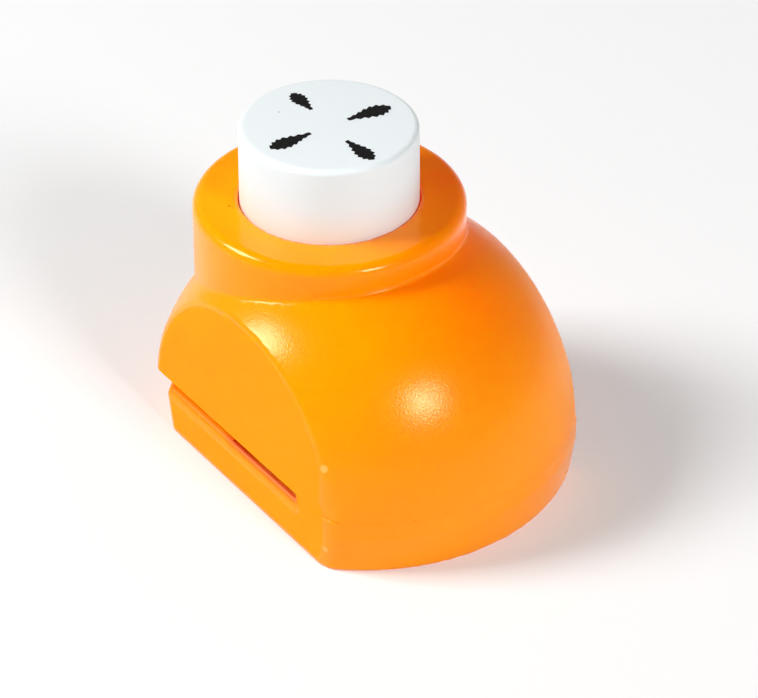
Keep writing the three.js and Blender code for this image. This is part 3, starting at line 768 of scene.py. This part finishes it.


# Painted light, painted shade, painted highlights and dust specks on the plastic: middle, radius, soft edge
# as a share of the radius, and colour
UPPER_PAINTED_LIGHT_AND_SPECK = (
    # Painted light: the collar's front and top, yellower where the left lamp falls
    ((5.0, -16.0, 29.0), 12.0, 1.3, (1.0, 0.42, 0.0, 1)),
    # Painted shade: redder on the dome's top rear, in the collar's and button's shade
    ((-6.0, 12.0, 25.0), 8.0, 1.7, (1.0, 0.24, 0.0, 1)),
    # Painted shadow: redder where the button's shadow falls on the collar's top
    ((-13.0, -2.0, 30.0), 6.5, 1.7, (1.0, 0.22, 0.0, 1)),
    # Painted highlight: a lighter dot at the upper shell's rear corner
    ((16.58, 16.06, 13.28), 0.43, 0.5, (1.0, 0.53, 0.1, 1)),
    ((10.5, -11.21, 30.1), 0.13, 0.4, (0.3, 0.06, 0.0, 1)),
)
# Painted highlight: a lighter dot at the base's rear corner
BASE_PAINTED_HIGHLIGHT = (((16.8, 16.58, 2.75), 0.4, 0.5, (1.0, 0.5, 0.09, 1)),)
BUTTON_MARKS = (((3.09, -12.08, 39.2), 0.09, 0.4, (0.25, 0.25, 0.25, 1)),)

# Where the base takes the slot's painted shade, a redder orange: half widths ahead of the slot's start and
# beside it
SHADE_HALVES = (15.8, 16.35)
SHADE_INSET = 2.9
SHADE_BOTTOM_Z = 2.9
# A face belongs to a flat cheek if it faces sideways this squarely and lies no deeper than this
CHEEK_SQUARENESS = 0.995
CHEEK_DEPTH = 1.2 * MM


def shell_finished(piece, name, look, marks, sizes):
    """Gives a shell its glossy plastic, and the plainer finish on its flat cheeks."""
    glossy = orange_plastic(f"{name}_glossy", look, marks, look.glossy_ior)
    finished(piece, glossy, "body", "orange_plastic", name)
    piece.data.materials.append(orange_plastic(f"{name}_plain", look, marks, look.plain_ior))
    faces = piece.data.polygons
    middles, directions = np.empty((2, len(faces) * 3))
    faces.foreach_get("center", middles)
    faces.foreach_get("normal", directions)
    faces_sideways = np.abs(directions[::3]) > CHEEK_SQUARENESS
    far_out = np.abs(middles[::3]) > sizes.cheek_width / 2 - CHEEK_DEPTH
    faces.foreach_set("material_index", (faces_sideways & far_out).astype(np.int32))


def grid_box(sizes, side, end, low, high):
    """Lowest and highest corner of the space around a shell, with room beyond its cheeks and its ends."""
    half = sizes.cheek_width / 2 / MM + side
    reach = sizes.body_radius / MM + end
    return (-half, -reach, low), (half, reach, high)


def off_cheeks(cheek):
    """1 on the round body, 0 on the flat cheeks."""
    return 1 - eased(-0.7, -0.15, cheek)


class PUNCH_OT_upper_shell(bpy.types.Operator):
    """Moulds the dome with its cheeks and collar"""

    bl_idname = "punch.upper_shell"
    bl_label = "Upper Shell"

    def execute(self, context):
        sizes = context.scene.punch_shells
        look = context.scene.punch_finishes
        box = grid_box(sizes, side=1.1, end=1.3, low=PARTING_Z - 1.03, high=COLLAR_TOP_Z + 1.2)
        shape, step = upper_shell_shape(sizes), sizes.upper_step / MM
        piece, points = moulded("upper_shell_moulding", shape, *box, step)
        x, y, z = points.T
        lean = math.tan(sizes.cheek_lean) * (z - PARTING_Z)
        cheek = np.abs(x) - sizes.cheek_width / 2 / MM + lean
        beyond_collar = np.hypot(x, y - AXIS_Y) - sizes.collar_radius / MM
        mark(piece, "grain", off_cheeks(cheek) * eased(-0.05, 0.15, beyond_collar))
        shell_finished(piece, "upper_shell", look, UPPER_PAINTED_LIGHT_AND_SPECK, sizes)
        return {"FINISHED"}


class PUNCH_OT_base_shell(bpy.types.Operator):
    """Moulds the base with the ramps of the paper slot"""

    bl_idname = "punch.base_shell"
    bl_label = "Base Shell"

    def execute(self, context):
        sizes = context.scene.punch_shells
        look = context.scene.punch_finishes
        box = grid_box(sizes, side=1.1, end=1.2, low=-1.03, high=9.5)
        shape, step = base_shell_shape(sizes), sizes.base_step / MM
        piece, points = moulded("base_shell_moulding", shape, *box, step)
        x, y, z = points.T
        mark(piece, "grain", 0.6 * off_cheeks(np.abs(x) - sizes.cheek_width / 2 / MM))
        # Painted shade: the inner attribute marks the slot's ramp, deck and pocket, where shade falls under
        # the upper shell
        ahead = 1 - eased(SLOT_END_Y - 0.05, SLOT_END_Y + 0.05, y)
        ramp_shade = eased(MOUTH_Z + 0.05, DECK_Z + 0.1, z)
        ramp_shade *= eased(SLOT_START_Y - 2.5, SLOT_START_Y + 0.5, y) * 0.6 + 0.4
        between_cheeks = np.abs(x) < np.where(y < SLOT_START_Y, *SHADE_HALVES)
        within = np.hypot(x, y) < sizes.body_radius / MM - SHADE_INSET
        pocket = between_cheeks & within & (z > SHADE_BOTTOM_Z)
        mark(piece, "inner", np.maximum(ramp_shade, pocket) * ahead)
        shell_finished(piece, "base_shell", look, BASE_PAINTED_HIGHLIGHT, sizes)
        return {"FINISHED"}


class PUNCH_OT_button(bpy.types.Operator):
    """Turns the hollow white button with its flange"""

    bl_idname = "punch.button"
    bl_label = "Button"

    def execute(self, context):
        sizes = context.scene.punch_button
        radius, top, edge = sizes.radius / MM, sizes.top / MM, sizes.edge_round / MM
        quarter = [i * math.pi / 20 for i in range(11)]
        inner = radius - CAP_WALL
        profile = [
            (0, STEM_HOLE_TOP_Z),
            (STEM_HOLE_RADIUS, STEM_HOLE_TOP_Z),
            (STEM_HOLE_RADIUS, STEM_BOTTOM_Z),
            (STEM_RADIUS, STEM_BOTTOM_Z),
            (STEM_RADIUS, CAP_ROOF_Z - CAP_FILLET),
            (STEM_RADIUS + CAP_FILLET, CAP_ROOF_Z),
            (inner - CAP_FILLET, CAP_ROOF_Z),
            (inner, CAP_ROOF_Z - CAP_FILLET),
            (inner, FLANGE_BOTTOM_Z),
            (FLANGE_RADIUS, FLANGE_BOTTOM_Z),
            (FLANGE_RADIUS, FLANGE_TOP_Z),
            (radius + 0.3, FLANGE_TOP_Z),
            (radius + 0.1, FLANGE_TOP_Z + 0.2),
            *((radius - edge + edge * math.cos(t), top - edge + edge * math.sin(t)) for t in quarter),
            (0, top),
        ]
        piece = lathed("button_cap_moulding", profile, sizes.segments, AXIS_Y)
        plastic = white_plastic(context.scene.punch_finishes, BUTTON_MARKS)
        finished(piece, plastic, "button", "white_plastic", "button_cap")
        return {"FINISHED"}


# A printed leaf's edges, with a tooth every other point: place along the leaf and half width, as
# shares of its length and width. The left edge runs from stem to tip, the right edge back.
LEFT_EDGE_SHARES = (
    (0, 0.22), (0.1, 0.22), (0.18, 0.42), (0.23, 0.32), (0.32, 0.64), (0.37, 0.5), (0.47, 0.88),
    (0.52, 0.7), (0.62, 1), (0.67, 0.76), (0.77, 0.94), (0.81, 0.6), (0.9, 0.64), (0.93, 0.34),
    (1, 0.14),
)
RIGHT_EDGE_SHARES = (
    (0.98, 0.16), (0.94, 0.46), (0.89, 0.38), (0.84, 0.82), (0.78, 0.66), (0.7, 0.98), (0.64, 0.74),
    (0.55, 0.94), (0.49, 0.6), (0.39, 0.76), (0.34, 0.42), (0.23, 0.52), (0.17, 0.24), (0.06, 0.28),
    (0, 0.2),
)
# Each printed leaf: its stem's start from the button's axis, direction in degrees, length and width
LEAF_PRINTS = (
    ((-2.2, 0.47), 175, 5.5, 2.5),
    ((2.75, 0.53), 1, 5.4, 2.35),
    ((0.42, 4.05), 92, 4.9, 2.15),
    ((-0.12, -3.55), 267, 4.2, 2.05),
)


def leaf_slab():
    """One leaf, one metre long, wide and thick, to be scaled where it is placed."""
    edge = [(s, w / 2) for s, w in LEFT_EDGE_SHARES] + [(s, -w / 2) for s, w in RIGHT_EDGE_SHARES]
    edge.reverse()
    count = len(edge)
    vertices = [(x, y, 0) for x, y in edge] + [(x, y, 1) for x, y in edge]
    faces = [tuple(range(count)), tuple(range(2 * count - 1, count - 1, -1))]
    faces += [(i, i + count, (i + 1) % count + count, (i + 1) % count) for i in range(count)]
    mesh = bpy.data.meshes.new("leaf_slab")
    mesh.from_pydata(vertices, [], faces)
    return placed("leaf_slab", mesh)


def tree_with(name, inputs):
    """A new geometry tree with named inputs and one geometry output, and the nodes at both ends."""
    tree = bpy.data.node_groups.new(name, "GeometryNodeTree")
    tree.interface.new_socket("Geometry", in_out="INPUT", socket_type="NodeSocketGeometry")
    for label, kind in inputs:
        tree.interface.new_socket(label, in_out="INPUT", socket_type=kind)
    tree.interface.new_socket("Geometry", in_out="OUTPUT", socket_type="NodeSocketGeometry")
    return tree, tree.nodes.new("NodeGroupInput"), tree.nodes.new("NodeGroupOutput")


def end_tree(tree, start, end, geometry):
    """Makes the geometry real, gives it the finish and sends it out."""
    real = tree.nodes.new("GeometryNodeRealizeInstances")
    tree.links.new(geometry, real.inputs["Geometry"])
    dressed = tree.nodes.new("GeometryNodeSetMaterial")
    tree.links.new(real.outputs["Geometry"], dressed.inputs["Geometry"])
    tree.links.new(start.outputs["Finish"], dressed.inputs["Material"])
    tree.links.new(dressed.outputs["Geometry"], end.inputs["Geometry"])


def grown(points, tree, values, name):
    """Runs a geometry tree on an object and returns its result as a plain object."""
    modifier = points.modifiers.new(tree.name, "NODES")
    modifier.node_group = tree
    for item in tree.interface.items_tree:
        if item.in_out == "INPUT" and item.name in values:
            modifier[item.identifier] = values[item.name]
    bpy.context.view_layer.update()
    result = points.evaluated_get(bpy.context.evaluated_depsgraph_get())
    mesh = bpy.data.meshes.new_from_object(result)
    mesh.name = name
    points.modifiers.remove(modifier)
    bpy.data.objects.remove(points)
    return placed(name, mesh)


def leaves_tree():
    """Places a scaled and turned leaf on each point."""
    inputs = [("Leaf", "NodeSocketObject"), ("Ink", "NodeSocketFloat")]
    tree, start, end = tree_with("printed_leaves", [*inputs, ("Finish", "NodeSocketMaterial")])
    link = tree.links.new

    def read(name):
        kept = tree.nodes.new("GeometryNodeInputNamedAttribute")
        kept.data_type = "FLOAT_VECTOR"
        kept.inputs["Name"].default_value = name
        return kept.outputs["Attribute"]

    leaf = tree.nodes.new("GeometryNodeObjectInfo")
    link(start.outputs["Leaf"], leaf.inputs["Object"])
    parts = tree.nodes.new("ShaderNodeSeparateXYZ")
    link(read("spread"), parts.inputs[0])
    scale = tree.nodes.new("ShaderNodeCombineXYZ")
    link(parts.outputs["X"], scale.inputs["X"])
    link(parts.outputs["Y"], scale.inputs["Y"])
    link(start.outputs["Ink"], scale.inputs["Z"])
    spread = tree.nodes.new("GeometryNodeInstanceOnPoints")
    link(start.outputs["Geometry"], spread.inputs["Points"])
    link(leaf.outputs["Geometry"], spread.inputs["Instance"])
    link(read("turn"), spread.inputs["Rotation"])
    link(scale.outputs[0], spread.inputs["Scale"])
    end_tree(tree, start, end, spread.outputs["Instances"])
    return tree


class PUNCH_OT_leaf_prints(bpy.types.Operator):
    """Prints the four black leaves on the button"""

    bl_idname = "punch.leaf_prints"
    bl_label = "Leaf Prints"

    def execute(self, context):
        sizes = context.scene.punch_button
        height = sizes.top - sizes.ink / 2
        mesh = bpy.data.meshes.new("leaf_points")
        spots = [(x * MM, (AXIS_Y + y) * MM, height) for (x, y), _, _, _ in LEAF_PRINTS]
        mesh.from_pydata(spots, [], [])
        turn = mesh.attributes.new("turn", "FLOAT_VECTOR", "POINT")
        spread = mesh.attributes.new("spread", "FLOAT_VECTOR", "POINT")
        for i, (_, degrees, length, width) in enumerate(LEAF_PRINTS):
            turn.data[i].vector = (0, 0, math.radians(degrees))
            spread.data[i].vector = (length * MM, width * MM, 1)
        points = placed("leaf_points", mesh)
        slab = leaf_slab()
        ink = printed_ink(context.scene.punch_finishes)
        values = {"Leaf": slab, "Ink": sizes.ink, "Finish": ink}
        piece = grown(points, leaves_tree(), values, "leaf_prints")
        bpy.data.objects.remove(slab)
        finished(piece, None, "button", "white_plastic")
        return {"FINISHED"}


# How finely the spring is drawn: points in a turn, and sides of the wire
TURN_POINTS = 40
WIRE_SIDES = 14


def spring_tree():
    """A round wire wound round the button's axis."""
    inputs = [(label, "NodeSocketFloat") for label in ("Coil Radius", "Wire", "Turns", "Rise")]
    inputs += [("Start", "NodeSocketVector"), ("Finish", "NodeSocketMaterial")]
    tree, start, end = tree_with("wound_spring", inputs)
    link = tree.links.new
    coil = tree.nodes.new("GeometryNodeCurveSpiral")
    coil.inputs["Resolution"].default_value = TURN_POINTS
    coil.inputs["Reverse"].default_value = True
    link(start.outputs["Turns"], coil.inputs["Rotations"])
    link(start.outputs["Coil Radius"], coil.inputs["Start Radius"])
    link(start.outputs["Coil Radius"], coil.inputs["End Radius"])
    link(start.outputs["Rise"], coil.inputs["Height"])
    wire = tree.nodes.new("GeometryNodeCurvePrimitiveCircle")
    wire.inputs["Resolution"].default_value = WIRE_SIDES
    half = tree.nodes.new("ShaderNodeMath")
    half.operation = "MULTIPLY"
    half.inputs[1].default_value = 0.5
    link(start.outputs["Wire"], half.inputs[0])
    link(half.outputs[0], wire.inputs["Radius"])
    wound = tree.nodes.new("GeometryNodeCurveToMesh")
    wound.inputs["Fill Caps"].default_value = True
    link(coil.outputs["Curve"], wound.inputs["Curve"])
    link(wire.outputs["Curve"], wound.inputs["Profile Curve"])
    moved = tree.nodes.new("GeometryNodeTransform")
    link(wound.outputs["Mesh"], moved.inputs["Geometry"])
    link(start.outputs["Start"], moved.inputs["Translation"])
    end_tree(tree, start, end, moved.outputs["Geometry"])
    return tree


class PUNCH_OT_return_spring(bpy.types.Operator):
    """Winds the spring that lifts the button"""

    bl_idname = "punch.return_spring"
    bl_label = "Return Spring"

    def execute(self, context):
        sizes = context.scene.punch_spring
        low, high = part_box("return_spring")
        rise = high[2] - low[2] - sizes.wire
        start = (0, AXIS_Y * MM, low[2] + sizes.wire / 2)
        mesh = bpy.data.meshes.new("spring_start")
        mesh.from_pydata([start], [], [])
        points = placed("spring_start", mesh)
        values = {"Coil Radius": sizes.coil_radius, "Wire": sizes.wire, "Turns": sizes.turns}
        values |= {"Rise": rise, "Start": start}
        values["Finish"] = metal("drawn_wire", (0.5, 0.51, 0.53), 0.24, 900, (1, 1, 6), 0.004 * MM)
        piece = grown(points, spring_tree(), values, "return_spring_wire")
        piece.data.shade_smooth()
        piece.data.set_sharp_from_angle(angle=math.radians(50))
        finished(piece, None, "body", "spring_steel", "return_spring")
        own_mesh(piece)
        return {"FINISHED"}


class PUNCH_OT_steel_parts(bpy.types.Operator):
    """Finishes the plates, punches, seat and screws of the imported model"""

    bl_idname = "punch.steel_parts"
    bl_label = "Steel Parts"

    def execute(self, context):
        look = context.scene.punch_finishes
        stamped = metal("stamped_plate", tuple(look.steel), 0.26, 1400, (1, 14, 1), 0.003 * MM)
        ground = metal("ground_punch", (0.46, 0.47, 0.49), 0.18, 1800, (9, 9, 1), 0.003 * MM)
        plated = metal("zinc_plated", tuple(look.zinc), 0.24, 1100, (1, 1, 1), 0.002 * MM)
        groups = (
            (stamped, ("die_plate", "guide_plate", "throat_spacer", "backing_plate", "punch_holder")),
            (ground, ("leaf_punch_1", "leaf_punch_2", "leaf_punch_3", "leaf_punch_4")),
            (plated, ("spring_seat", "carrier_screw", "block_screw_1", "block_screw_2")),
            (plated, ("shell_screw_1", "shell_screw_2", "shell_screw_3", "shell_screw_4")),
        )
        for material, names in groups:
            for name in names:
                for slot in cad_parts[name].material_slots:
                    slot.material = material
        return {"FINISHED"}


# The camera: what it looks at and where it stands, in millimetres
AIM = (-6.92, -7.17, 5.98)
CAMERA_PLACE = (166.35, 239.62, 219.52)
# The lamps: each one's direction from the punch and its width, and how far both stand from it, in metres
LAMPS = (
    ("left_lamp", (0.57, -0.43, 0.66), 0.35),
    ("right_lamp", (-0.03, 0.8, 0.51), 0.25),
)
LAMP_DISTANCE = 1.0
LIT_PLACE = (0, 0, 0.015)
# The floor's half width, and how far it lies below the base, in metres
FLOOR_HALF = 3.0
FLOOR_DROP = 0.00002


def facing(place, aim):
    """Rotation that looks from one place at another."""
    return (Vector(aim) - Vector(place)).to_track_quat("-Z", "Y").to_euler()


class PUNCH_OT_stage(bpy.types.Operator):
    """Sets up the floor, the lamps and the camera"""

    bl_idname = "punch.stage"
    bl_label = "Stage"

    def execute(self, context):
        scene, settings = context.scene, context.scene.punch_stage
        data = bpy.data.cameras.new("punch_camera")
        data.lens = settings.lens
        data.sensor_width = 36
        data.clip_start = 0.01
        camera = placed("punch_camera", data)
        camera.location = Vector(CAMERA_PLACE) * MM
        camera.rotation_euler = facing(camera.location, Vector(AIM) * MM)
        scene.camera = camera
        middle = Vector(LIT_PLACE)
        for name, direction, size in LAMPS:
            lamp = bpy.data.lights.new(name, "AREA")
            lamp.shape = "SQUARE"
            lamp.size = size
            lamp.energy = getattr(settings, name)
            holder = placed(name, lamp)
            holder.location = middle + Vector(direction).normalized() * LAMP_DISTANCE
            holder.rotation_euler = facing(holder.location, middle)
        scene.world = light_tent(settings)
        mesh = bpy.data.meshes.new("white_floor")
        corners = ((-1, -1), (1, -1), (1, 1), (-1, 1))
        corners = [(x * FLOOR_HALF, y * FLOOR_HALF, -FLOOR_DROP) for x, y in corners]
        mesh.from_pydata(corners, [], [(0, 1, 2, 3)])
        mesh.materials.append(paper_floor())
        floor = placed("white_floor", mesh)
        scene.view_settings.view_transform = "Standard"
        return {"FINISHED"}


STEPS = (
    PUNCH_OT_stage,
    PUNCH_OT_upper_shell,
    PUNCH_OT_base_shell,
    PUNCH_OT_button,
    PUNCH_OT_leaf_prints,
    PUNCH_OT_return_spring,
    PUNCH_OT_steel_parts,
)


class PUNCH_PT_panel(bpy.types.Panel):
    """Lists the steps and their sizes"""

    bl_idname = "PUNCH_PT_panel"
    bl_label = "Leaf Punch"
    bl_space_type = "VIEW_3D"
    bl_region_type = "UI"
    bl_category = "Leaf Punch"

    def draw(self, context):
        for step in STEPS:
            self.layout.operator(step.bl_idname)
        for name in GROUPS:
            group = getattr(context.scene, name)
            column = self.layout.column(align=True)
            for key in group.bl_rna.properties.keys():
                if key not in ("name", "rna_type"):
                    column.prop(group, key)


GROUPS = {
    "punch_shells": ShellSizes,
    "punch_button": ButtonSizes,
    "punch_spring": SpringSizes,
    "punch_finishes": Finishes,
    "punch_stage": StageSettings,
}


def register():
    for name, group in GROUPS.items():
        bpy.utils.register_class(group)
        setattr(bpy.types.Scene, name, PointerProperty(type=group))
    for step in (*STEPS, PUNCH_PT_panel):
        bpy.utils.register_class(step)


def unregister():
    for step in reversed((*STEPS, PUNCH_PT_panel)):
        bpy.utils.unregister_class(step)
    for name, group in GROUPS.items():
        delattr(bpy.types.Scene, name)
        bpy.utils.unregister_class(group)


def main():
    register()
    bpy.ops.punch.stage()
    bpy.ops.punch.upper_shell()
    bpy.ops.punch.base_shell()
    bpy.ops.punch.button()
    bpy.ops.punch.leaf_prints()
    bpy.ops.punch.return_spring()
    bpy.ops.punch.steel_parts()
    bpy.context.view_layer.update()


if __name__ == "__main__":
    main()
